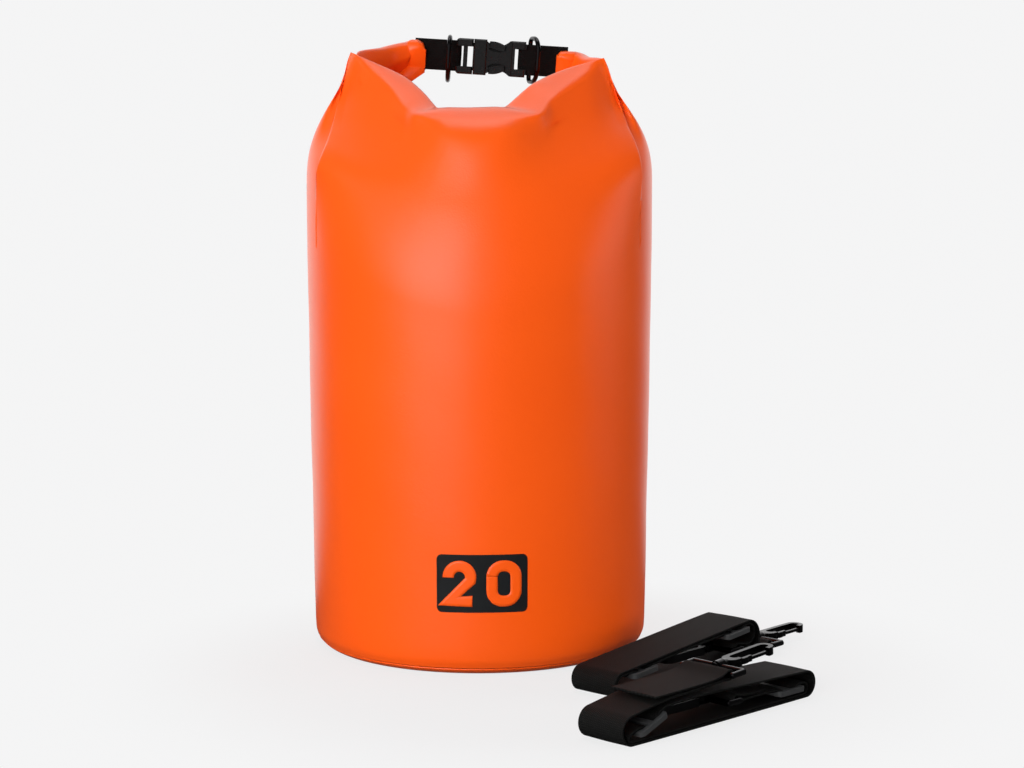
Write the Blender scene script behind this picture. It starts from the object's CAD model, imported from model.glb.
# Looks of the roll-top dry bag and its two folded shoulder straps.
# Lengths are written in millimetres and turned into metres when a mesh is made.
import contextlib
import math
import bmesh
import bpy
import numpy as np
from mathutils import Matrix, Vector


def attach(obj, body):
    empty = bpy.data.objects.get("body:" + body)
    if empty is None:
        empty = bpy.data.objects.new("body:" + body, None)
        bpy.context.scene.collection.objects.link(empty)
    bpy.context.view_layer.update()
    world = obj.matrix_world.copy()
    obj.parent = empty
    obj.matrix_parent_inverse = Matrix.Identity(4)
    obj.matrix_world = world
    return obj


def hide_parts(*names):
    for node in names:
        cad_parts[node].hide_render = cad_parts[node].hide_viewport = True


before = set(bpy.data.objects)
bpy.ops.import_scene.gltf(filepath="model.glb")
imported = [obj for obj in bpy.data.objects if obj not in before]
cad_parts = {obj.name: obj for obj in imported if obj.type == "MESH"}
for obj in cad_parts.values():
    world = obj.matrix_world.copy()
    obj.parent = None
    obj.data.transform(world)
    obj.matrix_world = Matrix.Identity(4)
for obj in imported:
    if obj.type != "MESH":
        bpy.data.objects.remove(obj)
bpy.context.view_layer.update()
MM = 0.001
DEG = math.pi / 180

# ---------- sizes, as in the CAD source ----------

TUBE_D, BASE_D, SHOULDER_Z, SIDE_RISE = 250, 242, 290, 50
EDGE_R, WELD_Z, SEAM_W, SEAM_TOP_Z = 14, 5, 18, 280
PATCH_W, PATCH_H, PATCH_T, SEAT = 52, 62, 0.9, 0.3
EAR_X, EAR_Y, EAR_Z, EAR_DROP, EAR_SPAN = 89, -10, 417, 4, 242
MOUTH_HALF, MOUTH_Y, MOUTH_Z = 33, -70.5, 383.8
ROLL_T, ROLL_MARGIN = 11, 1.6
HANDLE, TILT = (8, 52, 427), 3.5
ROLL_GAP, HOLD_L, LEAD_L = 49, 8, 7
TAB_W, TAB_T = 22.4, 1.2
ROLL_H = TAB_W + 2 * ROLL_MARGIN + 1.4
BUCKLE_L, BAR_D, RING_WIRE, RING_DEPTH = 52, 2.8, 3.4, 19
RING_X, RIGHT_RING_X, RING_SAG, RING_TURN = 31, 28.6, 2.6, 20
ANCHOR_Z, ANCHOR_W, ANCHOR_L, ANCHOR_DEG = 52, 21.6, 30, 32
STRAP_W, STRAP_T = 38, 1.8


# ---------- shape helpers ----------

def unit(v):
    return v / np.linalg.norm(v, axis=-1, keepdims=True)


def mix(a, b, t):
    return a * (1 - t) + b * t


def turn_y(p, deg):
    c, s = math.cos(deg * DEG), math.sin(deg * DEG)
    return np.array([p[0] * c + p[2] * s, p[1], -p[0] * s + p[2] * c])


def curve(points, t):
    """Smooth curve through points; t runs from 0 to the last index."""
    p = np.asarray(points, float)
    n = len(p) - 1
    t = np.clip(np.atleast_1d(np.asarray(t, float)), 0, n)
    i = np.minimum(t.astype(int), n - 1)
    f = (t - i)[:, None]
    a, b, c, d = p[np.maximum(i - 1, 0)], p[i], p[i + 1], p[np.minimum(i + 2, n)]
    return (2 * b + (c - a) * f + (2 * a - 5 * b + 4 * c - d) * f * f
            + (3 * b - a - 3 * c + d) * f ** 3) / 2


def sway(p, m, q, k, t):
    """Curve from p to q that leaves along m and arrives along k."""
    return ((2 * t ** 3 - 3 * t ** 2 + 1) * p + (t ** 3 - 2 * t ** 2 + t) * m
            + (3 * t ** 2 - 2 * t ** 3) * q + (t ** 3 - t ** 2) * k)


def smooth_step(x):
    x = np.clip(x, 0, 1)
    return x * x * (3 - 2 * x)


def run_length(path):
    """Distance along a path up to each of its points."""
    return np.concatenate([[0], np.cumsum(np.linalg.norm(np.diff(path, axis=0), axis=1))])


def resample(path, at):
    """Points at the given distances along a path."""
    length = run_length(path)
    return np.stack([np.interp(at, length, path[:, k]) for k in range(path.shape[1])], 1)


def rounded_path(path, passes=2):
    """Chaikin corner cutting that keeps both ends."""
    p = np.asarray(path, float)
    for _ in range(passes):
        a = p[:-1] * 0.75 + p[1:] * 0.25
        b = p[:-1] * 0.25 + p[1:] * 0.75
        mid = np.empty((2 * len(a), p.shape[1]))
        mid[0::2], mid[1::2] = a, b
        p = np.concatenate([p[:1], mid, p[-1:]])
    return p


# ---------- mesh helpers ----------

def new_object(name, data):
    ob = bpy.data.objects.new(name, data)
    bpy.context.scene.collection.objects.link(ob)
    return ob


def new_mesh(name, verts, faces, mat, body, uv=None):
    """A smooth piece from points in millimetres. uv is one (u, v) per vertex, in metres."""
    me = bpy.data.meshes.new(name)
    me.from_pydata((np.asarray(verts, float) * MM).tolist(), [], faces)
    me.validate(clean_customdata=False)
    if uv is not None:
        layer = me.uv_layers.new(name="UVMap")
        index = np.empty(len(me.loops), np.int32)
        me.loops.foreach_get("vertex_index", index)
        layer.data.foreach_set("uv", np.asarray(uv, float)[index].ravel())
    me.materials.append(mat)
    me.polygons.foreach_set("use_smooth", [True] * len(me.polygons))
    me.update()
    ob = new_object(name, me)
    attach(ob, body)
    return ob


def grid_faces(rows, cols, close_cols=False, close_rows=False):
    out = []
    for i in range(rows if close_rows else rows - 1):
        for j in range(cols if close_cols else cols - 1):
            a, b = i * cols + j, i * cols + (j + 1) % cols
            k = ((i + 1) % rows) * cols
            out.append((a, b, k + (j + 1) % cols, k + j))
    return out


def end_caps(rows, cols):
    """The two end faces of a closed section of cols points that runs through rows."""
    return [tuple(range(cols - 1, -1, -1)), tuple(range((rows - 1) * cols, rows * cols))]


def modifier(ob, kind, **values):
    m = ob.modifiers.new(kind.title(), kind)
    for key, value in values.items():
        setattr(m, key, value)


@contextlib.contextmanager
def editing(me):
    bm = bmesh.new()
    bm.from_mesh(me)
    yield bm
    bm.to_mesh(me)
    bm.free()


def fix_normals(ob, merge=None):
    """Face normals outward, after points closer than merge metres are joined."""
    with editing(ob.data) as bm:
        if merge:
            bmesh.ops.remove_doubles(bm, verts=bm.verts, dist=merge)
        bmesh.ops.recalc_face_normals(bm, faces=bm.faces)


def smooth_by_angle(ob, deg):
    with editing(ob.data) as bm:
        for e in bm.edges:
            e.smooth = len(e.link_faces) == 2 and e.calc_face_angle(0) < deg * DEG
        for f in bm.faces:
            f.smooth = True


# faces closer than this are one flat; edges past the next are rounded, and past the last sharp
FLAT_ANGLE, ROUND_ANGLE, SHARP_ANGLE = 1.5, 28, 34


def softened(node, body, mat, width, segments=3):
    """A copy of a rigid CAD node with its edges broken by a small round."""
    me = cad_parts[node].data.copy()
    me.materials.clear()
    me.materials.append(mat)
    me.name = node + "_moulded"
    with editing(me) as bm:
        bmesh.ops.remove_doubles(bm, verts=bm.verts, dist=2e-6)
        bmesh.ops.dissolve_limit(bm, angle_limit=FLAT_ANGLE * DEG, verts=bm.verts, edges=bm.edges)
    ob = new_object(me.name, me)
    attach(ob, body)
    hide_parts(node)
    modifier(ob, "BEVEL", width=width * MM, segments=segments, limit_method="ANGLE",
             angle_limit=ROUND_ANGLE * DEG, harden_normals=False, use_clamp_overlap=True)
    smooth_by_angle(ob, SHARP_ANGLE)
    modifier(ob, "WEIGHTED_NORMAL", keep_sharp=True)


def closed_wire(name, p, radius, mat, body, sides=24):
    """A round wire along a closed loop of points in millimetres."""
    n = len(p)
    run = unit(np.roll(p, -1, 0) - np.roll(p, 1, 0))
    up = np.cross(run[0], [0.3, 0.2, 0.93])
    rows = []
    for i in range(n):
        up = up - run[i] * (up @ run[i])
        up = up / np.linalg.norm(up)
        side = np.cross(run[i], up)
        ang = np.linspace(0, 2 * math.pi, sides, endpoint=False)[:, None]
        rows.append(p[i] + radius * (np.cos(ang) * up + np.sin(ang) * side))
    ob = new_mesh(name, np.concatenate(rows),
                  grid_faces(n, sides, close_cols=True, close_rows=True), mat, body)
    fix_normals(ob)
    return ob


# ---------- materials ----------

def node_kit(name):
    mat = bpy.data.materials.new(name)
    mat.use_nodes = True
    tree = mat.node_tree
    tree.nodes.clear()
    out = tree.nodes.new("ShaderNodeOutputMaterial")
    return mat, tree, out


def add(tree, kind, **values):
    n = tree.nodes.new("ShaderNode" + kind)
    for key, value in values.items():
        if hasattr(n, key) and key not in n.inputs:
            setattr(n, key, value)
        else:
            n.inputs[key].default_value = value
    return n


def wire(tree, a, b):
    tree.links.new(a, b)


def ramp(tree, source, stops):
    r = add(tree, "ValToRGB")
    els = r.color_ramp.elements
    while len(els) < len(stops):
        els.new(0.5)
    for el, (at, col) in zip(els, stops):
        el.position = at
        el.color = (*col, 1)
    wire(tree, source, r.inputs["Fac"])
    return r.outputs["Color"]


def maths(tree, op, *values):
    n = add(tree, "Math", operation=op)
    for i, x in enumerate(values):
        if isinstance(x, (int, float)):
            n.inputs[i].default_value = x
        else:
            wire(tree, x, n.inputs[i])
    return n.outputs[0]


def map_range(tree, source, from_min, from_max, to_min, to_max):
    """Smooth change from to_min to to_max as source goes from from_min to from_max."""
    n = add(tree, "MapRange", interpolation_type="SMOOTHSTEP")
    wire(tree, source, n.inputs["Value"])
    for key, value in (("From Min", from_min), ("From Max", from_max), ("To Min", to_min),
                       ("To Max", to_max)):
        n.inputs[key].default_value = value
    return n.outputs["Result"]


def vector_maths(tree, op, source, other=None):
    n = add(tree, "VectorMath", operation=op)
    wire(tree, source, n.inputs[0])
    if other:
        n.inputs[1].default_value = other
    return n.outputs["Vector" if op == "NORMALIZE" else "Value"]


def mix_shader(tree, share, first, second):
    n = add(tree, "MixShader")
    wire(tree, share, n.inputs["Fac"])
    wire(tree, first, n.inputs[1])
    wire(tree, second, n.inputs[2])
    return n.outputs[0]


def bumped(tree, height, strength, distance, shader):
    """Bump of a pattern into a shader's normal; distance is in metres."""
    n = add(tree, "Bump", Strength=strength, Distance=distance)
    wire(tree, height, n.inputs["Height"])
    wire(tree, n.outputs["Normal"], shader.inputs["Normal"])


def coated_fabric(name, base, deep, grain=1.0):
    """Satin PVC skin over a woven scrim: fine leathery grain and faint threads."""
    mat, t, out = node_kit(name)
    pos = add(t, "TexCoord").outputs["Object"]
    broad = add(t, "TexNoise", Scale=9.0, Detail=3.0, Roughness=0.5)
    fine = add(t, "TexNoise", Scale=900.0, Detail=3.0, Roughness=0.6)
    cells = add(t, "TexVoronoi", Scale=620.0, feature="SMOOTH_F1", Smoothness=0.6)
    for n in (broad, fine, cells):
        wire(t, pos, n.inputs["Vector"])
    tone = ramp(t, broad.outputs["Fac"], [(0.3, deep), (0.72, base)])
    b = add(t, "BsdfPrincipled", IOR=1.47)
    wire(t, tone, b.inputs["Base Color"])
    wire(t, maths(t, "MULTIPLY_ADD", fine.outputs["Fac"], 0.10, 0.26), b.inputs["Roughness"])
    height = maths(t, "MULTIPLY_ADD", cells.outputs["Distance"], 0.7, fine.outputs["Fac"])
    bumped(t, height, 0.16 * grain, 0.0004, b)
    wire(t, b.outputs[0], out.inputs["Surface"])
    return mat


def plain_skin(name, color, rough, spread, bump_scale, bump_strength, metallic=0.0, spec=0.5):
    """Moulded or plated surface with slight wear in its gloss."""
    mat, t, out = node_kit(name)
    pos = add(t, "TexCoord").outputs["Object"]
    fine = add(t, "TexNoise", Scale=bump_scale, Detail=4.0, Roughness=0.6)
    wear = add(t, "TexNoise", Scale=60.0, Detail=3.0, Roughness=0.55)
    wire(t, pos, fine.inputs["Vector"])
    wire(t, pos, wear.inputs["Vector"])
    dark = tuple(c * 0.8 for c in color)
    tone = ramp(t, wear.outputs["Fac"], [(0.3, dark), (0.7, color)])
    b = add(t, "BsdfPrincipled", Metallic=metallic, IOR=1.5)
    b.inputs["Specular IOR Level"].default_value = spec
    wire(t, tone, b.inputs["Base Color"])
    wire(t, maths(t, "MULTIPLY_ADD", wear.outputs["Fac"], spread, rough - spread / 2),
         b.inputs["Roughness"])
    bumped(t, fine.outputs["Fac"], bump_strength, 0.0003, b)
    wire(t, b.outputs[0], out.inputs["Surface"])
    return mat


def woven(name, dark, light, rib=1.05, column=1.6):
    """Black webbing: cross ribs along u and warp columns along v, both in metres."""
    mat, t, out = node_kit(name)
    uv = add(t, "TexCoord").outputs["UV"]
    sep = add(t, "SeparateXYZ")
    wire(t, uv, sep.inputs[0])
    u = maths(t, "MULTIPLY", sep.outputs["X"], 1000 / rib * 2 * math.pi)
    v = maths(t, "MULTIPLY", sep.outputs["Y"], 1000 / column * 2 * math.pi)
    half = maths(t, "MULTIPLY", v, 0.5)
    flip = maths(t, "SIGN", maths(t, "SINE", half))
    shifted = maths(t, "MULTIPLY_ADD", flip, math.pi / 2, u)
    ribs = maths(t, "MULTIPLY_ADD", maths(t, "SINE", shifted), 0.5, 0.5)
    cols = maths(t, "ABSOLUTE", maths(t, "SINE", half))
    cloth = maths(t, "MULTIPLY", ribs, maths(t, "POWER", cols, 0.5))
    noise = add(t, "TexNoise", Scale=420.0, Detail=4.0, Roughness=0.65)
    wire(t, uv, noise.inputs["Vector"])
    height = maths(t, "MULTIPLY_ADD", noise.outputs["Fac"], 0.5, cloth)
    tone = ramp(t, maths(t, "MULTIPLY", height, 0.7), [(0.15, dark), (0.85, light)])
    b = add(t, "BsdfPrincipled", Roughness=0.78, IOR=1.45)
    b.inputs["Specular IOR Level"].default_value = 0.25
    wire(t, tone, b.inputs["Base Color"])
    bumped(t, height, 0.75, 0.00035, b)
    wire(t, b.outputs[0], out.inputs["Surface"])
    return mat


ORANGE = coated_fabric("orange_coated_fabric", (0.93, 0.101, 0.0055), (0.91, 0.094, 0.005))
PATCH = coated_fabric("orange_welded_patch", (0.92, 0.090, 0.006), (0.88, 0.080, 0.005), 1.3)
PLASTIC = plain_skin("black_moulded_plastic", (0.004, 0.004, 0.0043), 0.27, 0.10, 2200.0, 0.05,
                     spec=0.38)
SLIDER = plain_skin("grey_moulded_plastic", (0.040, 0.041, 0.042), 0.45, 0.14, 2600.0, 0.10)
METAL = plain_skin("black_nickel_wire", (0.040, 0.038, 0.040), 0.22, 0.10, 1800.0, 0.04,
                   metallic=1.0)
CAST = plain_skin("black_nickel_casting", (0.030, 0.029, 0.030), 0.30, 0.14, 1300.0, 0.10,
                  metallic=1.0)
PRINT = plain_skin("dark_print", (0.010, 0.011, 0.012), 0.55, 0.16, 1600.0, 0.10, spec=0.3)
WEBBING = woven("black_webbing", (0.0018, 0.0018, 0.0018), (0.011, 0.011, 0.0105))
NARROW = woven("black_narrow_webbing", (0.0015, 0.0015, 0.0015), (0.007, 0.007, 0.007), 0.95, 1.3)


# ---------- the roll at the mouth ----------

def handle_point(x, y=0, z=0):
    return np.array(HANDLE, float) + turn_y((x, y, z), TILT)


HANDLE_UP = turn_y((0, 0, 1), TILT)
# the roll's middle line and its upright direction, from the left arm's end round the front to
# the right arm's end; a place s along it counts these points
BAND_MID = [
    handle_point(-ROLL_GAP), handle_point(-ROLL_GAP - HOLD_L),
    handle_point(-ROLL_GAP - HOLD_L - LEAD_L),
    (-EAR_X + 16, HANDLE[1] - 16, EAR_Z + 8), (-EAR_X, EAR_Y, EAR_Z),
    (-MOUTH_HALF - 25, MOUTH_Y + 20, mix(EAR_Z, MOUTH_Z, 0.45)),
    (-MOUTH_HALF, MOUTH_Y + 3, MOUTH_Z + 1), (0, MOUTH_Y, MOUTH_Z),
    (MOUTH_HALF, MOUTH_Y + 3, MOUTH_Z + 1),
    (MOUTH_HALF + 27, MOUTH_Y + 20, mix(EAR_Z, MOUTH_Z, 0.45) - EAR_DROP / 2),
    (EAR_X, EAR_Y, EAR_Z - EAR_DROP),
    (EAR_X - 9, HANDLE[1] - 16, EAR_Z + 3 - EAR_DROP / 2),
    handle_point(ROLL_GAP + HOLD_L + LEAD_L), handle_point(ROLL_GAP + HOLD_L),
    handle_point(ROLL_GAP)]
BAND_UP = [
    HANDLE_UP, HANDLE_UP, HANDLE_UP, (0.08, 0, 1), (0.15, 0.15, 0.98), (0.36, 0.51, 0.78),
    (0.2, 0.92, 0.35), (0, 0.96, 0.27), (-0.2, 0.92, 0.35), (-0.36, 0.51, 0.78),
    (-0.15, 0.15, 0.98), (-0.08, 0, 1), HANDLE_UP, HANDLE_UP, HANDLE_UP]
LEFT_EAR, MIDDLE, RIGHT_EAR, BAND_END = 4, 7, 10, 14


def band_p(s):
    return curve(BAND_MID, s)


def band_w(s):
    return unit(curve(BAND_UP, s))


def band_run(s):
    s = np.atleast_1d(np.asarray(s, float))
    return unit(band_p(np.minimum(s + 0.01, BAND_END)) - band_p(np.maximum(s - 0.01, 0)))


def band_n(s):
    return unit(np.cross(band_run(s), band_w(s)))


def soft(v, power):
    return np.sign(v) * np.abs(v) ** power


def bell(x, width):
    return np.exp(-(x / width) ** 2)


# against the distance from the roll's nearer end: its height above the band on each arm, its
# depth below the band and its half thickness
LEFT_TOP = ([0, 0.3, 0.75, 1.2, 2, 3, 4, 4.5, 4.9], [3.5, 8, 10.2, 9.8, 7.6, 9.3, 12.4, 4, 0])
RIGHT_TOP = ([0, 0.3, 0.75, 1.2, 2, 3, 4, 4.5, 4.9], [5.3, 7.8, 8.4, 8.3, 8, 9.5, 12, 4, 0])
ARM_LOW = ([0, 0.5, 4, 4.9], [-12.6, -13.2, -13, -11])
ARM_T = ([0, 0.6, 2, 3, 3.7, 4, 4.5, 4.9], [4.4, 5.4, 5.2, 4.4, 3, 2, 1.6, 2.2])
# where the roll's inner face is widest, as a share of its half height
RIDGE = ([0, 2, 3, 4], [0.72, -0.3, -0.4, -0.4])
# how far the roll lies behind the skin where the skin covers it
SUNK = 6.5
# (size, step outward) of the rings that show the turns of fabric at the roll's ends
TURNS = ((0.96, 0.5), (0.86, 0.8), (0.81, -0.6), (0.75, -0.6), (0.71, 0.6), (0.61, 0.6),
         (0.56, -0.9), (0.48, -0.9), (0.43, 0.3), (0.33, 0.2), (0.28, -1.4), (0.14, -1.5))


def roll_piece():
    """The rolled mouth: full height along its two arms, and thin behind the front skin."""
    section, per_place = 56, 16
    s = np.linspace(0, BAND_END, BAND_END * per_place + 1)
    p, w, n, run = band_p(s), band_w(s), band_n(s), band_run(s)
    ang = 2 * math.pi * (np.arange(section) + 0.5) / section
    c, h = soft(np.cos(ang), 0.75), soft(np.sin(ang), 0.66)
    inner = c < 0
    rows = []
    for i in range(len(s)):
        e = min(s[i], BAND_END - s[i])
        top = np.interp(e, *(LEFT_TOP if s[i] < MIDDLE else RIGHT_TOP))
        low = np.interp(e, *ARM_LOW)
        t = np.interp(e, *ARM_T)
        hidden = smooth_step((e - 3.95) / 0.8)
        ear = bell(e - LEFT_EAR, 0.8)
        # below the ridge the cloth of the inner face tucks in
        ridge = np.interp(e, *RIDGE)
        lean = np.where(inner, mix(0.28, 1.42, np.clip((h + 1) / (ridge + 1), 0, 1)), 1.0)
        lean = mix(lean, 1.0, hidden) * (1 - 0.75 * ear * smooth_step((h + 0.2) / 1.2))
        tall = np.where(h > 0, h * top, -h * low)
        rows.append(p[i] + n[i] * (t * c * lean - SUNK * hidden)[:, None] + w[i] * tall[:, None])
    caps = []
    for i, sign in ((0, -1), (len(s) - 1, 1)):
        middle = rows[i].mean(0)
        ring = rows[i] - middle
        flat, tall = ring @ n[i], ring @ w[i]
        caps.append([middle + np.outer(flat * shrink, n[i])
                     + np.outer(tall * (1 - (1 - shrink) * 0.55), w[i]) + run[i] * deep * sign
                     for shrink, deep in TURNS])
    rings = caps[0][::-1] + rows + caps[1]
    ob = new_mesh("rolled_fabric", np.concatenate(rings),
                  grid_faces(len(rings), section, close_cols=True), ORANGE, "bag")
    fix_normals(ob)
    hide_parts("rolled_mouth", "mouth_stiffener")


roll_piece()


# ---------- the skin of the bag ----------

def tube_r(z):
    return mix(BASE_D, TUBE_D, np.minimum(z / SHOULDER_Z, 1)) / 2


def rim(u):
    """Lower edge of the roll, where u goes round the mouth from the left ear."""
    front = u <= 0.5
    f = np.where(front, 2 * u, 2 - 2 * u)
    w = f - 0.7 * np.sin(2 * math.pi * f) / (2 * math.pi)
    s = LEFT_EAR + (RIGHT_EAR - LEFT_EAR) * w
    turn = 90 * np.minimum(1, np.minimum(w, 1 - w) * EAR_SPAN / (ROLL_T / 2)) * DEG
    out = band_n(s) * np.where(front, 1, -1)[:, None]
    end = band_run(s) * np.where(w < 0.5, -1, 1)[:, None]
    return (band_p(s) - band_w(s) * (ROLL_H / 2 + SEAT + 0.1)
            + (out * np.sin(turn)[:, None] + end * np.cos(turn)[:, None]) * ROLL_T / 2)


def cone(u, v):
    """The closing surface of the CAD body: u goes round, v from the shoulder to the rim."""
    a = math.pi + 2 * math.pi * u
    front = (u <= 0.5)[:, None]
    side = (np.abs(np.cos(a)) ** 3)[:, None]
    half = np.sign(np.cos(a))
    z0 = SHOULDER_Z + SIDE_RISE * np.cos(a) ** 2
    p = np.stack([tube_r(z0) * np.cos(a), tube_r(z0) * np.sin(a), z0], 1)
    m = np.zeros_like(p)
    m[:, 2] = np.where(front[:, 0], 95, mix(170, 95, side[:, 0]))
    ear = np.stack([-48 * half, np.where(front[:, 0], 4.0, -16.0), np.full(len(u), 34.0)], 1)
    mid = np.where(front, np.array([[0, 32, 66]]), np.array([[0, -210, -10]]))
    return sway(p, m, rim(u), mix(mid, ear, side), v[:, None])


# the crease over the front, the rim behind it and the folds at the sides, with each point's
# place along its line from the left ear (0) to the right one (1)
LEFT_KNEE, RIGHT_KNEE = 0.344, 0.656
CREASE = [(-92.1, -12, 429.5), (-87.7, -14, 426.3), (-76.4, -25, 416.3), (-62.1, -42, 405),
          (-51.5, -62, 390.5), (-44, -76, 386.5), (-26.6, -82, 385.9), (-2.4, -84, 385.2),
          (25.1, -82, 385.9), (44.4, -76, 387.2), (52.3, -58, 396.7), (63.8, -42, 405.7),
          (76.9, -27, 414.1), (85.9, -14, 422.7), (89.5, -12, 425.6)]
CREASE_AT = [0, 0.035, 0.11, 0.20, 0.285, LEFT_KNEE, 0.42, 0.49, 0.575, RIGHT_KNEE, 0.715, 0.80,
             0.885, 0.965, 1]
RIM = [(-92.1, -12, 429.8), (-78.3, -16, 424.1), (-63, -23, 417), (-49.2, -32, 409.9),
       (-38.9, -43, 402.2), (-31.5, -53, 394.3), (-28.7, -57, 391.7), (-24, -58.5, 391.5),
       (-6.3, -60, 391.8), (13, -58.5, 391.9), (18.1, -57, 392.2), (22.5, -53.5, 395.3),
       (35.7, -42, 406.7), (45.6, -33, 412), (56.4, -26, 416.3), (66.4, -20, 419.8),
       (89.5, -12, 425.8)]
RIM_AT = [0, 0.09, 0.17, 0.235, 0.285, 0.325, LEFT_KNEE, 0.37, 0.49, 0.63, RIGHT_KNEE, 0.675,
          0.75, 0.80, 0.855, 0.905, 1]
FOLD_LEFT = [(-114.2, -50.8, 290), (-114.2, -50.8, 312), (-114.1, -51, 328),
             (-114, -51.3, 340.1), (-113, -52.4, 350.6), (-109.3, -48, 360.3),
             (-105, -38, 371.3), (-102.3, -25, 384.5), (-99.1, -13, 401.4),
             (-95.5, -11, 416.4), (-92.1, -12, 429.5)]
FOLD_RIGHT = [(114.2, -50.8, 290), (114.2, -50.8, 312), (114.2, -50.8, 329),
              (114.6, -50.2, 345.7), (113.2, -46, 357.4), (110, -37, 367.8),
              (107.2, -30, 374.7), (104.2, -24, 381), (99.7, -13, 395), (94.6, -11, 410),
              (89.5, -12, 425.6)]
FRONT_FROM, FRONT_TO = 204, 336


def at_knots(points, knots, t):
    return curve(points, np.interp(t, knots, np.arange(len(knots))))


def by_height(points, z):
    fine = curve(points, np.linspace(0, len(points) - 1, 161))
    return np.stack([np.interp(z, fine[:, 2], fine[:, k]) for k in range(3)], 1)


def blurred(rows, sigma, reach):
    """Gaussian blur down the rows; past each end they go on as their own mirror image."""
    kern = np.exp(-(np.arange(-reach, reach + 1) / sigma) ** 2 / 2)
    kern /= kern.sum()
    big = np.concatenate([2 * rows[0] - rows[reach:0:-1], rows,
                          2 * rows[-1] - rows[-2:-reach - 2:-1]])
    return sum(k * big[i:i + len(rows)] for i, k in enumerate(kern))


def soften_column(line, sigma, count, dense_at, step=0.7):
    """Smooth one polyline by sigma millimetres and give it count points, close at dense_at."""
    length = run_length(line)[-1]
    m = max(int(length / step), 8)
    at = np.linspace(0, length, m)
    q = resample(line, at)
    q = blurred(q, sigma / step, min(int(3 * sigma / step) + 1, m - 2))
    density = 1 + 3.5 * np.exp(-((at - dense_at) / 5.0) ** 2)
    total = np.concatenate([[0], np.cumsum((density[1:] + density[:-1]) / 2)])
    rows = np.interp(np.linspace(0, total[-1], count), total, at)
    return np.stack([np.interp(rows, at, q[:, k]) for k in range(3)], 1)


def smooth_across(grid, a, sigma, part):
    """Smooth columns over their neighbours; part says how much, row by row."""
    c, s = np.cos(a)[:, None], np.sin(a)[:, None]
    d = grid - grid[:, :1]
    d = np.stack([d[..., 0] * c + d[..., 1] * s, d[..., 1] * c - d[..., 0] * s, d[..., 2]], -1)
    d = mix(d, blurred(d, sigma, 3 * sigma), part[None, :, None])
    return grid[:, :1] + np.stack([d[..., 0] * c - d[..., 1] * s, d[..., 0] * s + d[..., 1] * c,
                                   d[..., 2]], -1)


FRONT_COLS, BACK_COLS, TOP_ROWS, SHOULDER_DROP = 201, 230, 120, 35
BACK_SIGMA = 6.0
# a distance past the end of every column, for rows that are evenly spaced
NOWHERE = 1e4


def hem(r, inward, at):
    """The skin's edge from the rim point r back down behind the roll."""
    out, up = band_n(at)[0], band_w(at)[0]
    bend = 0.9 + 3.9 * smooth_step(inward / 0.33)
    curl = [r + up * bend * math.sin(q) - out * bend * (1 - math.cos(q))
            for q in np.linspace(0, math.pi, 10)[1:]]
    run_back = np.interp(inward, [0, 0.1, 0.3], [3, 12, 22])
    return np.array(curl + [curl[-1] - up * run_back * f for f in (0.35, 0.7, 1)])


def front_columns():
    """From the shoulder up to the crease, over the facets and down behind the roll."""
    t = np.linspace(0, 1, FRONT_COLS)
    a = (FRONT_FROM + (FRONT_TO - FRONT_FROM) * t) * DEG
    z0 = SHOULDER_Z + SIDE_RISE * np.cos(a) ** 2 - SHOULDER_DROP
    p = np.stack([tube_r(z0) * np.cos(a), tube_r(z0) * np.sin(a), z0], 1)
    c = at_knots(CREASE, CREASE_AT, t)
    r = at_knots(RIM, RIM_AT, t)
    mid = smooth_step((0.17 - np.abs(t - 0.5)) / 0.13)[:, None]
    k = mix((c - p) * 0.85, np.array([[0, 104, 34.0]]), mid)
    m = np.zeros_like(p)
    m[:, 2] = mix(78, 96, mid[:, 0]) + 1.5 * SHOULDER_DROP
    dent = bell(t - LEFT_KNEE, 0.055) + bell(t - RIGHT_KNEE, 0.055)
    band_s = np.linspace(LEFT_EAR, RIGHT_EAR, 121)
    band_x = np.maximum.accumulate(band_p(band_s)[:, 0] + np.arange(121) * 1e-6)
    v = np.linspace(0, 1, 90)
    w = np.linspace(0, 1, 24)[1:]
    cols = []
    for j in range(FRONT_COLS):
        inward = min(t[j], 1 - t[j])
        body = sway(p[j], m[j], c[j], k[j], v[:, None])
        # near each side the skin is pulled to that side's fold
        fold, edge = (FOLD_LEFT, 0) if t[j] < 0.5 else (FOLD_RIGHT, FRONT_COLS - 1)
        base = sway(p[edge], m[edge], c[edge], k[edge], v[:, None])
        body = body + bell(inward, 0.085) * (by_height(fold, base[:, 2]) - base)
        run = unit(np.array([-math.sin(a[j]), math.cos(a[j]), 0]))
        out = unit(np.cross(run, unit(np.gradient(body, axis=0))))
        hollow = dent[j] * bell(v - 0.80, 0.20) * 3.2 - 0.9 * mid[j, 0] * bell(v - 0.5, 0.25)
        body = body - out * hollow[:, None]
        rise = 3.4 * mid[j, 0] * np.sin(math.pi * w) + 0.8 * (1 - mid[j, 0]) * np.sin(math.pi * w)
        top = mix(c[j], r[j], w[:, None]) + np.outer(rise, [0, -0.25, 0.97])
        at = float(np.interp(r[j][0], band_x, band_s))
        line = np.concatenate([body, top, hem(r[j], inward, at)])
        sigma = mix(1.3 + 1.6 * smooth_step(inward / 0.13), 7.5, mid[j, 0] ** 1.5)
        to_crease = np.linalg.norm(np.diff(body, axis=0), axis=1).sum()
        cols.append(soften_column(line, sigma, TOP_ROWS, to_crease))
    cols = np.array(cols)
    # below the crease the columns are evened out, more and more towards the shoulder
    gap = np.abs(cols[FRONT_COLS // 2, :, 1:] - CREASE[len(CREASE) // 2][1:])
    low = np.argmin(gap[:, 0] + gap[:, 1]) - np.arange(TOP_ROWS)
    cols = smooth_across(cols, a, 12, smooth_step((low - 4) / 26))
    return smooth_across(cols, a, 26, smooth_step((low - 16) / 26)), a, z0


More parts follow.
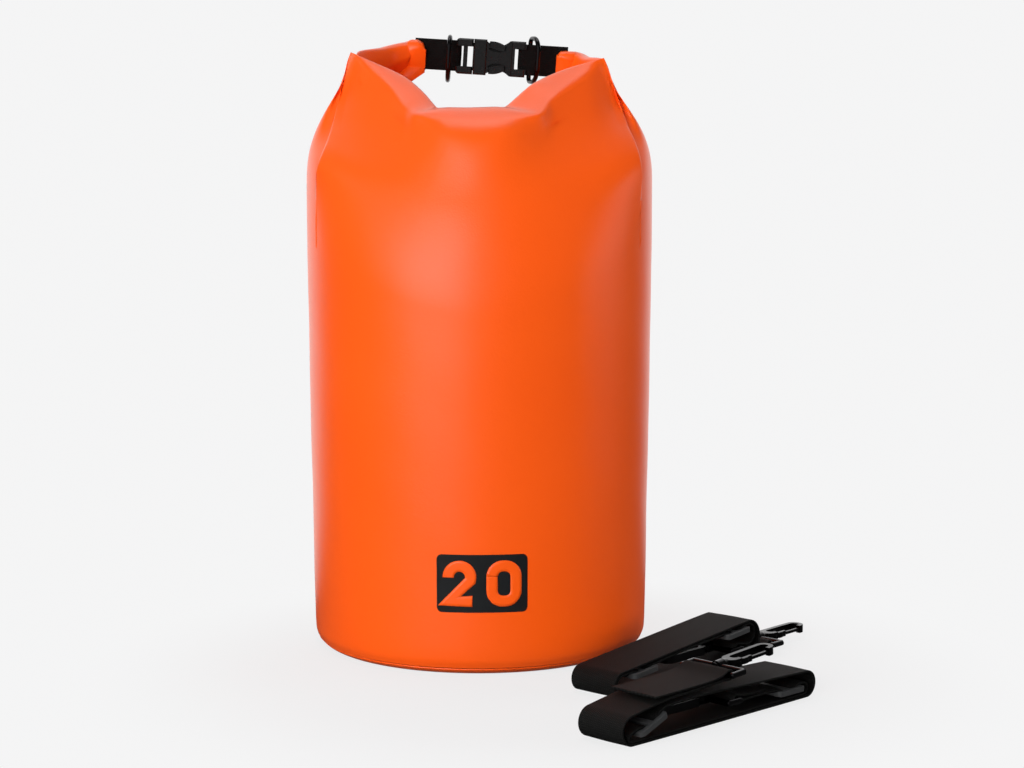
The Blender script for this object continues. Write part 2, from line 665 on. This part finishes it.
def back_columns():
    """From the right edge line round the back to the left one, up to the rim."""
    rows_v = np.linspace(0, 1, TOP_ROWS)
    u = np.linspace((FRONT_TO - 180) / 360, 1 + (FRONT_FROM - 180) / 360, BACK_COLS)
    a = math.pi + 2 * math.pi * u
    cols = np.array([cone(np.full(TOP_ROWS, place % 1.0), rows_v) for place in u])
    # each edge follows its side's fold, tucked in behind the front skin
    for edge, fold, tuck_x in ((0, FOLD_RIGHT, -1.8), (BACK_COLS - 1, FOLD_LEFT, 1.8)):
        base = cols[edge].copy()
        span = np.linspace(fold[2][2], fold[-1][2] - 6, TOP_ROWS)
        z = mix(base[:, 2], span, smooth_step((rows_v - 0.2) / 0.8))
        tuck = np.array([tuck_x, 4.0, 0]) * (np.sin(
            math.pi * np.clip(rows_v, 0, 0.85)) * smooth_step((z - 340) / 25))[:, None]
        shift = by_height(fold, z) + tuck - base
        for j in range(BACK_COLS):
            cols[j] += shift * bell(abs(j - edge) / (BACK_COLS - 1), 0.055)
    z0 = SHOULDER_Z + SIDE_RISE * np.cos(a) ** 2 - SHOULDER_DROP
    out = []
    for j in range(BACK_COLS):
        z = np.linspace(z0[j], z0[j] + SHOULDER_DROP, 8)[:-1]
        r = tube_r(z)
        low = np.stack([r * math.cos(a[j]), r * math.sin(a[j]), z], 1)
        out.append(soften_column(np.concatenate([low, cols[j]]), BACK_SIGMA, TOP_ROWS, NOWHERE))
    return np.array(out), a, z0


def wobble(p):
    """Slow unevenness of a filled fabric tube, in millimetres."""
    a = np.arctan2(p[:, 1], p[:, 0])
    z = p[:, 2]
    d = (0.26 * np.sin(2 * a + 0.016 * z + 1.0) * np.sin(0.024 * z + 0.8)
         + 0.18 * np.sin(5 * a - 0.021 * z + 2.0) * np.sin(0.033 * z + 3 * a)
         + 0.10 * np.sin(9 * a + 0.05 * z) * np.sin(0.06 * z + 1.7))
    fade = smooth_step((z - 18) / 50) * (1 - smooth_step((z - 345) / 45))
    flat = np.stack([np.cos(a), np.sin(a), np.zeros_like(a)], 1)
    return flat * (d * fade)[:, None]


def side_fold(first, last, shares, bulge):
    """Columns between two edges of the skin, which bulge where the fold stands out."""
    return np.array([mix(first, last, f) + bulge * math.sin(math.pi * f) for f in shares])


def tube_rings(a, z0):
    """The flat base, its rounded edge with the weld's groove, and the tube up to z0."""
    flat_r = BASE_D / 2 - EDGE_R
    discs = [(flat_r * f, 0) for f in (0.02, 0.25, 0.5, 0.7, 0.85, 0.95)]
    for z in np.concatenate([np.linspace(0, 0.9, 12)[:-1] * 3.6, np.linspace(3.6, 6.6, 16),
                             np.linspace(7.4, EDGE_R, 6)]):
        r = flat_r + math.sqrt(max(EDGE_R ** 2 - (EDGE_R - z) ** 2, 0))
        r -= 0.75 * bell(z - WELD_Z, 0.42) - 0.22 * bell(z - WELD_Z - 1.2, 0.5)
        discs.append((r, z))
    for f in np.linspace(0, 1, 60)[1:-1]:
        z = EDGE_R + (z0 - EDGE_R) * f
        discs.append((tube_r(z), z))
    return [np.stack([r * np.cos(a), r * np.sin(a), z + np.zeros_like(a)], 1) for r, z in discs]


def skin_piece():
    front, fa, fz = front_columns()
    back, ba, bz = back_columns()
    grow = smooth_step((front[0][:, 2] - 335) / 30)[:, None]
    right = side_fold(front[-1], back[0], (0.1, 0.3, 0.55, 0.8), grow * np.array([1.3, 0.3, 0]))
    left = side_fold(back[-1], front[0], (0.2, 0.45, 0.7, 0.9), grow * np.array([-1.3, 0.3, 0]))
    cols = np.concatenate([front, right, back, left])
    a = np.concatenate([fa, [fa[-1]] * len(right), ba, [ba[-1]] * len(left)])
    z0 = np.concatenate([fz, [fz[-1]] * len(right), bz, [bz[-1]] * len(left)])
    rows = np.concatenate([tube_rings(a, z0), cols.transpose(1, 0, 2)])
    n_rows, n_cols = rows.shape[:2]
    verts = rows.reshape(-1, 3)
    verts = verts + wobble(verts)
    ob = new_mesh("bag_skin", verts, grid_faces(n_rows, n_cols, close_cols=True), ORANGE, "bag")
    fix_normals(ob, merge=2e-5)
    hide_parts("body_shell", "base_panel")


skin_piece()


CORNER_T, CORNER_SEAM, CORNER_BULGE = 2, 8, 2.2


def corner_fold(name, s0, s1, edge):
    """Side fabric folded double under one arm of the roll, down to its free edge."""
    u = np.linspace(0, 1, 48)
    s = mix(s0, s1, u)
    top = band_p(s) - band_w(s) * CORNER_SEAM
    low = curve(edge, u * (len(edge) - 1))
    w = np.linspace(0, 1, 15)
    sheet = mix(top[:, None], low[:, None], w[None, :, None])
    n = unit(np.cross(np.gradient(sheet, axis=0), np.gradient(sheet, axis=1)))
    bulge = CORNER_BULGE * np.sin(math.pi * u)[:, None] * np.sin(math.pi * w)
    sheet = sheet + n * bulge[..., None]
    half, down = CORNER_T / 2, unit(low - top)
    around = [low + n[:, -1] * half * math.cos(q) + down * half * math.sin(q)
              for q in np.linspace(0, math.pi, 7)[1:-1]]
    loop = np.concatenate([sheet + n * half, np.array(around).transpose(1, 0, 2),
                           (sheet - n * half)[:, ::-1]], 1)
    rows, m = loop.shape[:2]
    faces = grid_faces(rows, m, close_cols=True) + end_caps(rows, m)
    fix_normals(new_mesh(name, loop.reshape(-1, 3), faces, ORANGE, "bag"))


corner_fold("corner_fold_left", 0.12, 3.8, [
    (-41.5, 52, 417), (-51, 49, 410), (-64, 48, 400), (-78, 50, 385), (-91, 53, 360),
    (-101, 32, 366), (-106, 8, 380), (-99, -8, 400)])
corner_fold("corner_fold_right", BAND_END - 0.12, BAND_END - 3.8, [
    (57.8, 52, 417), (66, 49, 409), (76, 49, 398), (86, 50, 382), (94, 53, 358),
    (101, 32, 365), (105, 8, 378), (96, -8, 396)])


# ---------- sheets welded to the tube ----------

def tube_sheet(name, node, mid_deg, width, z0, z1, lift, thick, corner, groove):
    """A patch that follows the tube, with rounded corners and a soft pressed edge."""
    r_mid = float(tube_r((z0 + z1) / 2))
    cols, rows = 49, max(25, int((z1 - z0) / 2.5))
    hw, hh = width / 2, (z1 - z0) / 2
    px, py = np.meshgrid(np.linspace(-1, 1, cols), np.linspace(-1, 1, rows))
    gx, gy = px * hw, py * hh
    # pull the corners in to the rounded outline
    cx, cy = hw - corner, hh - corner
    ox, oy = np.abs(gx) - cx, np.abs(gy) - cy
    both = (ox > 0) & (oy > 0)
    far = np.hypot(ox, oy)
    pull = np.where(both & (far > 1e-9), np.maximum(ox, oy) / np.maximum(far, 1e-9), 1.0)
    gx = np.where(both, np.sign(gx) * (cx + ox * pull), gx)
    gy = np.where(both, np.sign(gy) * (cy + oy * pull), gy)
    to_side = np.minimum(hw - np.abs(gx), hh - np.abs(gy))
    to_edge = np.where(both, corner - np.maximum(ox, oy), to_side)
    rise = lift + thick * smooth_step(to_edge / 1.1) - thick * 0.55 * bell(to_edge - groove, 0.5)
    z = (z0 + z1) / 2 + gy
    ang = mid_deg * DEG + gx / r_mid
    r = tube_r(z) + rise
    verts = np.stack([r * np.cos(ang), r * np.sin(ang), z], -1).reshape(-1, 3)
    verts = verts + wobble(verts)
    ob = new_mesh(name, verts, grid_faces(rows, cols), PATCH, "bag")
    modifier(ob, "SOLIDIFY", thickness=0.0006, offset=-1.0)
    fix_normals(ob)
    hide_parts(node)


SIDES = ((1, "left"), (-1, "right"))
tube_sheet("back_seam", "back_seam_strip", 90, SEAM_W, EDGE_R, SEAM_TOP_Z, 0.25, 0.75, 2.0, 2.2)
for sign, word in SIDES:
    tube_sheet("anchor_sheet_" + word, "anchor_patch_" + word, 90 + sign * ANCHOR_DEG, PATCH_W,
               ANCHOR_Z - PATCH_H * 0.42, ANCHOR_Z + PATCH_H * 0.58, SEAT, PATCH_T, 9.0, 3.0)


# ---------- webbing ----------

def webbing(name, node, body, path, width, thick, place, mat, step):
    """A woven ribbon along a flat path. place turns (x, across, z) rows into the frame."""
    path = rounded_path(path)
    length = run_length(path)[-1]
    at = np.linspace(0, length, max(2, int(length / step) + 1))
    line = resample(path, at)
    run = unit(np.gradient(line, axis=0))
    side = np.stack([-run[:, 1], run[:, 0]], 1)
    half, t = width / 2, thick / 2
    # section: across, height and where it lies on the weave
    top = [(x, t * (1 + 0.12 * math.cos(math.pi * x / half)) * 0.92) for x in
           np.linspace(-half + 0.8, half - 0.8, 9)]
    section = ([(-half, -t * 0.35), (-half - 0.12, 0), (-half, t * 0.35), (-half + 0.3, t * 0.8)]
               + top + [(half - 0.3, t * 0.8), (half, t * 0.35), (half + 0.12, 0),
                        (half, -t * 0.35), (half - 0.3, -t * 0.8)]
               + [(x, -y) for x, y in reversed(top)] + [(-half + 0.3, -t * 0.8)])
    rows, uv = [], []
    for i in range(len(line)):
        for x, y in section:
            q = line[i] + side[i] * y
            rows.append((q[0], x, q[1]))
            uv.append((at[i] * MM, x * MM))
    n, m = len(line), len(section)
    faces = grid_faces(n, m, close_cols=True) + end_caps(n, m)
    ob = new_mesh(name, place(np.array(rows)), faces, mat, body, uv)
    fix_normals(ob)
    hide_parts(node)


def turned(deg):
    c, s = math.cos(deg * DEG), math.sin(deg * DEG)
    return np.array([[c, -s, 0], [s, c, 0], [0, 0, 1]])


def arc(c, r, a0, a1, n):
    return [(c[0] + r * math.cos((a0 + (a1 - a0) * i / n) * DEG),
             c[1] + r * math.sin((a0 + (a1 - a0) * i / n) * DEG)) for i in range(n + 1)]


# closure webbing
MALE_BAR = BUCKLE_L / 2 - BAR_D / 2
TAB_BAR_R, TAB_RING_R = BAR_D / 2 + 0.1 + TAB_T / 2, RING_WIRE / 2 + 0.15 + TAB_T / 2
END = -ROLL_GAP - HOLD_L + 0.4


def tab_path(bar, ring):
    return ([(END, TAB_T / 2 + 0.1), (-ring - 9, TAB_T / 2 + 0.1), (-ring - 4, TAB_RING_R),
             (-ring + 1, TAB_RING_R)] + arc((-bar, 0), TAB_BAR_R, 90, -90, 8)
            + [(-ring + 1, -TAB_RING_R), (-ring - 4, -TAB_RING_R),
               (-ring - 9, -TAB_T / 2 - 0.1), (END, -TAB_T / 2 - 0.1)])


def closure_place(sign):
    def place(rows):
        return np.array([handle_point(x * sign, y, across) for x, across, y in rows])
    return place


for sign, word, bar, ring in ((1, "left", MALE_BAR, RING_X),
                              (-1, "right", MALE_BAR - 2.2, RIGHT_RING_X)):
    webbing("closure_webbing_" + word, "closure_tab_" + word, "bag", tab_path(bar, ring), TAB_W,
            TAB_T, closure_place(sign), NARROW, step=0.9)

# anchor webbing
ANCHOR_R = float(tube_r(ANCHOR_Z)) + SEAT + PATCH_T + SEAT
ANCHOR_BAR = ANCHOR_R + TAB_T + 0.2 + RING_WIRE / 2 + 0.9


def anchor_low(z):
    return float(tube_r(ANCHOR_Z + z)) + SEAT + PATCH_T + SEAT + TAB_T / 2


# how far the webbing's returning ply lies over the first one
OVER = TAB_T + 0.4
ANCHOR_PATH = ([(anchor_low(ANCHOR_L), ANCHOR_L), (anchor_low(7), 7)]
               + arc((ANCHOR_BAR, 0), TAB_RING_R, 150, 360, 12)
               + [(ANCHOR_BAR + TAB_RING_R - 0.2, 2), (anchor_low(9) + OVER, 9),
                  (anchor_low(ANCHOR_L - 2) + OVER, ANCHOR_L - 2)])


def anchor_place(sign):
    def place(rows):
        p = np.stack([rows[:, 1], rows[:, 0], rows[:, 2] + ANCHOR_Z], 1)
        return p @ turned(sign * ANCHOR_DEG).T
    return place


for sign, word in SIDES:
    webbing("anchor_strap_" + word, "anchor_webbing_" + word, "bag", ANCHOR_PATH, ANCHOR_W, TAB_T,
            anchor_place(sign), NARROW, step=0.8)


# ---------- shoulder straps ----------

EYE_WIRE = 4
LAYER = STRAP_T + 0.2
WRAP_R = EYE_WIRE / 2 + 0.15 + STRAP_T / 2
# each strap's bundle: its length, the heights of its two ends, its place and its turn
FOLD = {"front": 191, "rear": 164}
HEIGHTS = {"front": (26.5, 20.5), "rear": (17.5, 31)}
PLACE = {"front": (78.5, -292), "rear": (78, -172)}
TURN = {"front": 45, "rear": 48.5}
# the bars of its two hooks' eyes, along it and up
INNER_BAR = {"front": (FOLD["front"] - 82, 12), "rear": (FOLD["rear"] - 26, 11.7)}
OUTER_BAR = {"front": (102, 29.5), "rear": (FOLD["rear"] + 12.5, 7.2)}
SLOT_L, SLIDER_BAR, SLIDER_T, SLIDER_BAR_T = 7, 4, 3.4, 2.4
DIP = SLIDER_T / 2 + 0.1 + STRAP_T / 2 + SLIDER_BAR_T / 2 + 0.1 + STRAP_T / 2
LEFT_SLIDER, FRONT_SLIDER_GAP, REAR_SLIDER_GAP = 30, 28, 29
LOW_FOLD = 8.5
FLOOR_Z = STRAP_T / 2
LOW_Z = FLOOR_Z + LAYER


def top_z(word, x):
    return mix(HEIGHTS[word][0], HEIGHTS[word][1], x / FOLD[word]) - STRAP_T / 2


def high_z(word, x):
    return top_z(word, x) - LAYER


def weave(x, z, direction, slope=0.0):
    """The dip of the webbing under a slider's middle bar."""
    top, low = SLIDER_BAR / 2 + SLOT_L - 0.8, SLIDER_BAR / 2 + 0.4
    c, s = math.cos(math.atan(slope)), math.sin(math.atan(slope))
    return [(x + direction * px * c - pz * s, z + direction * px * s + pz * c)
            for px, pz in ((-top, 0), (-low, -DIP), (low, -DIP), (top, 0))]


def loop(edge, side, a, b):
    """A half turn that ends at x = edge, from height a to height b."""
    r, up = abs(b - a) / 2, 1 if b > a else -1
    return arc((edge - side * r, (a + b) / 2), r, -90 * up, -90 * up + 180 * up * side, 10)


def inner_end(b, tail):
    """The webbing's sewn end round the bar of its inner hook's eye."""
    return ([(b[0] + tail, b[1] + 1.1), (b[0] + 10, b[1] + 1.1)] + arc(b, WRAP_R, 72, 288, 10)
            + [(b[0] + 10, b[1] - 1.1)])


def bar_fold(bar, tail, slope):
    """The webbing round the bar of its outer hook's eye and on into its tail."""
    return ([(bar[0] - 10, bar[1] - WRAP_R + 0.6 - slope)] + arc(bar, WRAP_R, -84, 120, 9)
            + [(bar[0] - 10, bar[1] - WRAP_R + 0.6 - slope + LAYER)] + tail)


def front_path():
    w, l, b = "front", FOLD["front"], INNER_BAR["front"]
    h1, t0, low, x = high_z(w, l - 10), top_z(w, 12), LOW_FOLD, LEFT_SLIDER - 5
    climb = (high_z(w, 46) - low) / 36
    return (inner_end(b, 28) + weave(l - FRONT_SLIDER_GAP, b[1] - 1.1, 1)
            + loop(l - 8, 1, b[1] - 1.1, LOW_Z) + loop(5.6, -1, LOW_Z, low)
            + weave(x, low + (x - 10) * climb, 1, climb) + [(46, high_z(w, 46))]
            + loop(l, 1, h1, FLOOR_Z) + loop(0, -1, FLOOR_Z, t0 - 5.5)
            + [(26, t0 - 3), (46, t0 - 0.4), (72, t0 + 0.4)]
            + bar_fold(OUTER_BAR[w], [(72, t0 + 0.6 + LAYER), (40, t0 + LAYER + 0.2),
                                      (30, t0 + LAYER + 0.2)], 0.3))


def rear_path():
    w, l, b = "rear", FOLD["rear"], INNER_BAR["rear"]
    slope = (HEIGHTS[w][1] - HEIGHTS[w][0]) / l
    h0, h1 = high_z(w, 6), high_z(w, l - 12)
    t0, t1 = top_z(w, 8), top_z(w, l - 12)
    x = l - REAR_SLIDER_GAP
    return ([(px, 2 * b[1] - pz) for px, pz in inner_end(b, 16)] + loop(l - 6, 1, b[1] + 1.1, h1)
            + weave(x, high_z(w, x), -1, slope)
            + weave(LEFT_SLIDER, high_z(w, LEFT_SLIDER), -1, slope)
            + loop(LAYER, -1, h0, LOW_Z) + loop(l, 1, LOW_Z, t1) + loop(0, -1, t0, FLOOR_Z)
            + [(l - 9, FLOOR_Z)] + bar_fold(OUTER_BAR[w], [], 2.4))


def strap_place(word):
    def place(rows):
        return rows @ turned(TURN[word]).T + np.array([*PLACE[word], 0])
    return place


for word, path in (("front", front_path()), ("rear", rear_path())):
    body = word + "_strap"
    webbing(word + "_strap_band", word + "_strap_webbing", body, path, STRAP_W, STRAP_T,
            strap_place(word), WEBBING, step=1.4)
    for which in ("outer", "inner"):
        softened("%s_strap_slider_%s" % (word, which), body, SLIDER, 0.6)
        hook = "%s_%s_hook" % (word, which)
        softened(hook + "_eye", body, METAL, 0.7)
        softened(hook + "_body", hook, CAST, 1.3, segments=4)
        softened(hook + "_gate", hook + "_gate", CAST, 0.35)
        softened(hook + "_pin", hook, METAL, 0.2)


# ---------- buckle and rings ----------

softened("buckle_female", "bag", PLASTIC, 0.9)
softened("buckle_male", "bag", PLASTIC, 0.7)
for word in ("upper", "lower"):
    softened("buckle_prong_" + word, "buckle_prong_" + word, PLASTIC, 0.5)


def ring_points(inner, corner=3.4):
    """Middle line of a D-ring: x runs from its bar to its bow, and y along the bar."""
    half = inner / 2 + RING_WIRE / 2
    bow = half * 0.62
    leg = RING_DEPTH - RING_WIRE / 2 - bow
    pts = [(0, -half + corner), (0, 0), (0, half - corner)]
    pts += arc((corner, half - corner), corner, 180, 90, 6)
    pts += [(leg * 0.5 + corner * 0.5, half)]
    pts += arc((leg, half - bow), bow, 90, 0, 12)
    pts += [(leg + bow, 0)]
    pts += arc((leg, -half + bow), bow, 0, -90, 12)
    pts += [(leg * 0.5 + corner * 0.5, -half)]
    pts += arc((corner, -half + corner), corner, -90, -180, 6)
    # where two stretches meet, one point is enough
    after = pts[1:] + pts[:1]
    return np.array([q for q, following in zip(pts, after) if math.dist(q, following) > 0.3])


def ring_piece(name, node, inner, place):
    """A ring that stands in for the node of the same name as its body."""
    ob = closed_wire(name, place(ring_points(inner)), RING_WIRE / 2, METAL, node)
    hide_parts(node)


def top_ring_place(x, turn, sag):
    def place(p):
        flat = np.stack([p[:, 0], np.zeros(len(p)), p[:, 1]], 1) @ turned(-90 + turn).T
        flat = flat + np.array([x, 0, -sag])
        return np.array([handle_point(*q) for q in flat])
    return place


def low_ring_place(sign):
    def place(p):
        q = np.stack([p[:, 1], np.full(len(p), ANCHOR_BAR), ANCHOR_Z - p[:, 0]], 1)
        return q @ turned(sign * ANCHOR_DEG).T
    return place


ring_piece("closure_ring_left", "top_ring_left", TAB_W + 6, top_ring_place(-RING_X, 0, RING_SAG))
ring_piece("closure_ring_right", "top_ring_right", TAB_W + 6,
           top_ring_place(RIGHT_RING_X, RING_TURN, 0))
for sign, word in SIDES:
    ring_piece("anchor_ring_" + word, "lower_ring_" + word, ANCHOR_W + 2.4, low_ring_place(sign))


# ---------- capacity mark on the front ----------

def on_front(x, z, lift):
    """Points on the front of the tube; x is measured round it from the middle."""
    r = tube_r(z)
    a = -math.pi / 2 + x / r
    flat = np.stack([r * np.cos(a), r * np.sin(a), z], -1)
    flat = flat + wobble(flat)
    out = np.stack([np.cos(a), np.sin(a), np.zeros_like(a)], -1)
    return flat + out * lift


def print_sheet(name, mat, outline_rows, lift):
    """A thin printed area from rows of (x, z) points of equal count."""
    g = np.array(outline_rows)
    pts = on_front(g[..., 0].ravel(), g[..., 1].ravel(), lift)
    ob = new_mesh(name, pts, grid_faces(*g.shape[:2]), mat, "bag")
    modifier(ob, "SOLIDIFY", thickness=0.0001, offset=-1.0)
    fix_normals(ob)


def rounded_panel(x0, x1, z0, z1, corner, cols=60, rows=40):
    cx, cz, hw, hh = (x0 + x1) / 2, (z0 + z1) / 2, (x1 - x0) / 2, (z1 - z0) / 2
    out = []
    for v in np.linspace(-1, 1, rows):
        z = hh * math.sin(v * math.pi / 2)
        over = max(abs(z) - (hh - corner), 0)
        w = hw - corner + math.sqrt(max(corner ** 2 - over ** 2, 0))
        out.append([(cx + w * u, cz + z) for u in np.linspace(-1, 1, cols)])
    return out


def stroke(points, width, closed=False, step=0.8):
    """Rows of (x, z) points across a pen stroke with mitred corners."""
    p = np.array(points, float)
    n = len(p)
    rows = []
    for i in range(n):
        a = p[i] - p[i - 1] if (i or closed) else p[1] - p[0]
        b = p[(i + 1) % n] - p[i] if (i < n - 1 or closed) else p[i] - p[i - 1]
        a, b = unit(a), unit(b)
        na, nb = np.array([-a[1], a[0]]), np.array([-b[1], b[0]])
        m = unit(na + nb)
        m = m * (1 / max(m @ na, 0.45))
        rows.append([tuple(p[i] + m * width * f) for f in np.linspace(-0.5, 0.5, 5)])
    if closed:
        rows.append(rows[0])
    fine = []
    for r0, r1 in zip(rows[:-1], rows[1:]):
        k = max(1, int(math.dist(r0[2], r1[2]) / step))
        for j in range(k):
            fine.append([tuple(mix(np.array(x), np.array(y), j / k)) for x, y in zip(r0, r1)])
    fine.append(rows[-1])
    return fine


# the panel's left, right, lower and upper edges, and the digits' pen, height and width
PANEL_X0, PANEL_X1, PANEL_Z0, PANEL_Z1, PANEL_CORNER = -28.7, 34.7, 45.8, 86.5, 3.6
PEN, TALL, WIDE = 7.8, 32.5, 24.5
TWO_X0, ZERO_X0 = -24.4, 5.9
TWO_R, ZERO_R = 7.8, 7.4
PANEL_LIFT, DIGIT_LIFT = 0.12, 0.26


def capacity_mark():
    """The plain number 20 in the fabric's colour on a dark panel."""
    print_sheet("capacity_panel", PRINT,
                rounded_panel(PANEL_X0, PANEL_X1, PANEL_Z0, PANEL_Z1, PANEL_CORNER), PANEL_LIFT)
    low = (PANEL_Z0 + PANEL_Z1) / 2 - TALL / 2 + PEN / 2
    top = low + TALL - PEN
    x0, x1 = TWO_X0 + PEN / 2, TWO_X0 - PEN / 2 + WIDE
    two = ([(x0, top - TWO_R - 0.4)] + arc((x0 + TWO_R, top - TWO_R), TWO_R, 176, -18, 14)
           + [(x0 + 0.6, low), (x1, low)])
    print_sheet("capacity_digit_2", ORANGE, stroke(two, PEN), DIGIT_LIFT)
    x0, x1, r = ZERO_X0 + PEN / 2, ZERO_X0 - PEN / 2 + WIDE, ZERO_R
    zero = (arc((x0 + r, top - r), r, 180, 90, 8) + arc((x1 - r, top - r), r, 90, 0, 8)
            + arc((x1 - r, low + r), r, 0, -90, 8) + arc((x0 + r, low + r), r, -90, -180, 8))
    print_sheet("capacity_digit_0", ORANGE, stroke(zero, PEN, closed=True), DIGIT_LIFT)


capacity_mark()


# ---------- floor, light and camera ----------

PAPER = {"Color": (0.997, 0.997, 1.0, 1), "Strength": 0.913}
FLOOR_TONE, SHADOW_SHARE = 0.72, 0.16
SHADOW_MID, SHADOW_NEAR, SHADOW_FAR = (0.05, -0.10, 0), 0.16, 0.34
# what the object receives: a dim room, and a bright backdrop behind it, a little to the left
ROOM, BACKDROP, BACK_FROM, BACK_TO, BACK_SKEW = 0.07, 1.2, 0.55, 0.92, -0.12


def floor_piece():
    """White sweep: it glows evenly for the camera and keeps a faint shadow near the bag."""
    me = bpy.data.meshes.new("studio_floor")
    me.from_pydata([(-9, -6, 0), (9, -6, 0), (9, 12, 0), (-9, 12, 0)], [], [(0, 1, 2, 3)])
    ob = new_object("studio_floor", me)
    mat, t, out = node_kit("white_paper")
    where = add(t, "NewGeometry").outputs["Position"]
    away = vector_maths(t, "DISTANCE", where, SHADOW_MID)
    near = map_range(t, away, SHADOW_NEAR, SHADOW_FAR, SHADOW_SHARE, 0.0)
    glow = add(t, "Emission", **PAPER)
    paper = add(t, "BsdfDiffuse", Color=(FLOOR_TONE, FLOOR_TONE, FLOOR_TONE, 1))
    seen = mix_shader(t, near, glow.outputs[0], paper.outputs[0])
    behind = vector_maths(t, "DOT_PRODUCT", vector_maths(t, "NORMALIZE", where),
                          (BACK_SKEW, 1.0, 0.0))
    bounce = add(t, "Emission", Color=(1.0, 1.0, 1.0, 1))
    wire(t, map_range(t, behind, BACK_FROM, BACK_TO, ROOM, BACKDROP), bounce.inputs["Strength"])
    camera_ray = add(t, "LightPath").outputs["Is Camera Ray"]
    wire(t, mix_shader(t, camera_ray, bounce.outputs[0], seen), out.inputs["Surface"])
    me.materials.append(mat)


floor_piece()


def world_light():
    """Dim room with a bright backdrop behind the object; the camera sees plain paper."""
    world = bpy.data.worlds.new("studio")
    bpy.context.scene.world = world
    world.use_nodes = True
    t = world.node_tree
    t.nodes.clear()
    out = t.nodes.new("ShaderNodeOutputWorld")
    seen = add(t, "Background", **PAPER)
    split = add(t, "SeparateXYZ")
    wire(t, add(t, "TexCoord").outputs["Generated"], split.inputs[0])
    behind = maths(t, "MULTIPLY_ADD", split.outputs["X"], BACK_SKEW, split.outputs["Y"])
    behind = maths(t, "MULTIPLY_ADD", maths(t, "MAXIMUM", split.outputs["Z"], 0.0), 0.35, behind)
    room = add(t, "Background", Color=(1.0, 1.0, 1.0, 1))
    wire(t, map_range(t, behind, BACK_FROM, BACK_TO, ROOM, BACKDROP), room.inputs["Strength"])
    camera_ray = add(t, "LightPath").outputs["Is Camera Ray"]
    wire(t, mix_shader(t, camera_ray, room.outputs[0], seen.outputs[0]), out.inputs["Surface"])


world_light()


def softbox(name, at, target, size, watts, glossy=True):
    light = bpy.data.lights.new(name, "AREA")
    light.shape = "RECTANGLE"
    light.size, light.size_y = size
    light.energy = watts
    ob = new_object(name, light)
    ob.visible_glossy = glossy
    ob.location = at
    ob.rotation_euler = (Vector(target) - Vector(at)).to_track_quat("-Z", "Y").to_euler()


softbox("key_softbox", (-1.2, -2.2, 1.0), (0.0, 0.0, 0.25), (4.4, 3.4), 20)
softbox("key_scrim", (-1.2, -2.2, 0.62), (0.0, 0.0, 0.22), (1.9, 1.7), 86, glossy=False)
softbox("side_fill", (2.4, 0.0, 0.35), (0.0, 0.0, 0.15), (1.5, 1.3), 42, glossy=False)
softbox("top_strip", (-0.05, 0.2, 1.7), (0.0, -0.05, 0.38), (1.2, 0.45), 4.2)

# the camera stands in front, a little above the bag, and looks 7 degrees down
EYE_AT, EYE_TILT, LENS = (0.0235, -1.757, 0.4055), 83, 85.04
camera = bpy.data.cameras.new("camera")
camera.sensor_width = 36
camera.lens = LENS
camera.clip_end = 50
eye = new_object("camera", camera)
eye.location = EYE_AT
eye.rotation_euler = (EYE_TILT * DEG, 0, 0)
bpy.context.scene.camera = eye
bpy.context.scene.view_settings.view_transform = "Standard"
